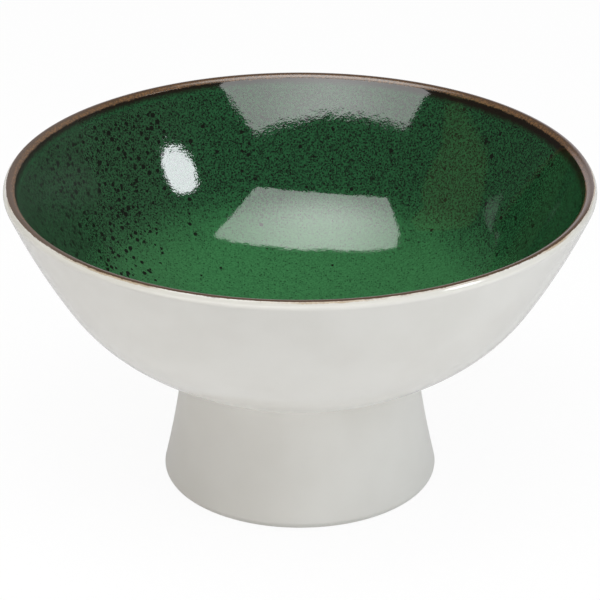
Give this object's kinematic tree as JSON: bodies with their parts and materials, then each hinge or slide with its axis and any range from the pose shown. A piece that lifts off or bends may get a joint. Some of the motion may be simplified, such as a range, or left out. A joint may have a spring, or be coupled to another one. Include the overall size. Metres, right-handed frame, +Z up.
{
  "type": "footed compote bowl",
  "caption": "Footed compote bowl in glazed stoneware: a wide flaring bowl with a rounded lip on a hollow flared foot, green inside, brown at the rim and cream outside.",
  "frame": {"origin": "on the table, at the middle of the foot ring", "axes": "+Z up along the bowl's axis; X and Y are level, and any direction is as good because the bowl is round"},
  "size_m": [0.16, 0.16, 0.088],
  "materials": {
    "stoneware": "fired buff stoneware, bare and fine-grained on the foot ring",
    "slip": "fired slip, matt",
    "green_glaze": "glossy green glaze with fine dark speckle and scattered iron spots",
    "brown_glaze": "glossy brown glaze, broken to tan and near black at its edges",
    "cream_glaze": "smooth off-white glaze with a soft gloss"
  },
  "bodies": {
    "root": {"bowl_body": "stoneware", "foot_body": "stoneware", "slip_joint": "slip", "inner_glaze": "green_glaze", "rim_glaze": "brown_glaze", "outer_glaze": "cream_glaze", "hollow_glaze": "cream_glaze"}
  },
  "joints": []
}
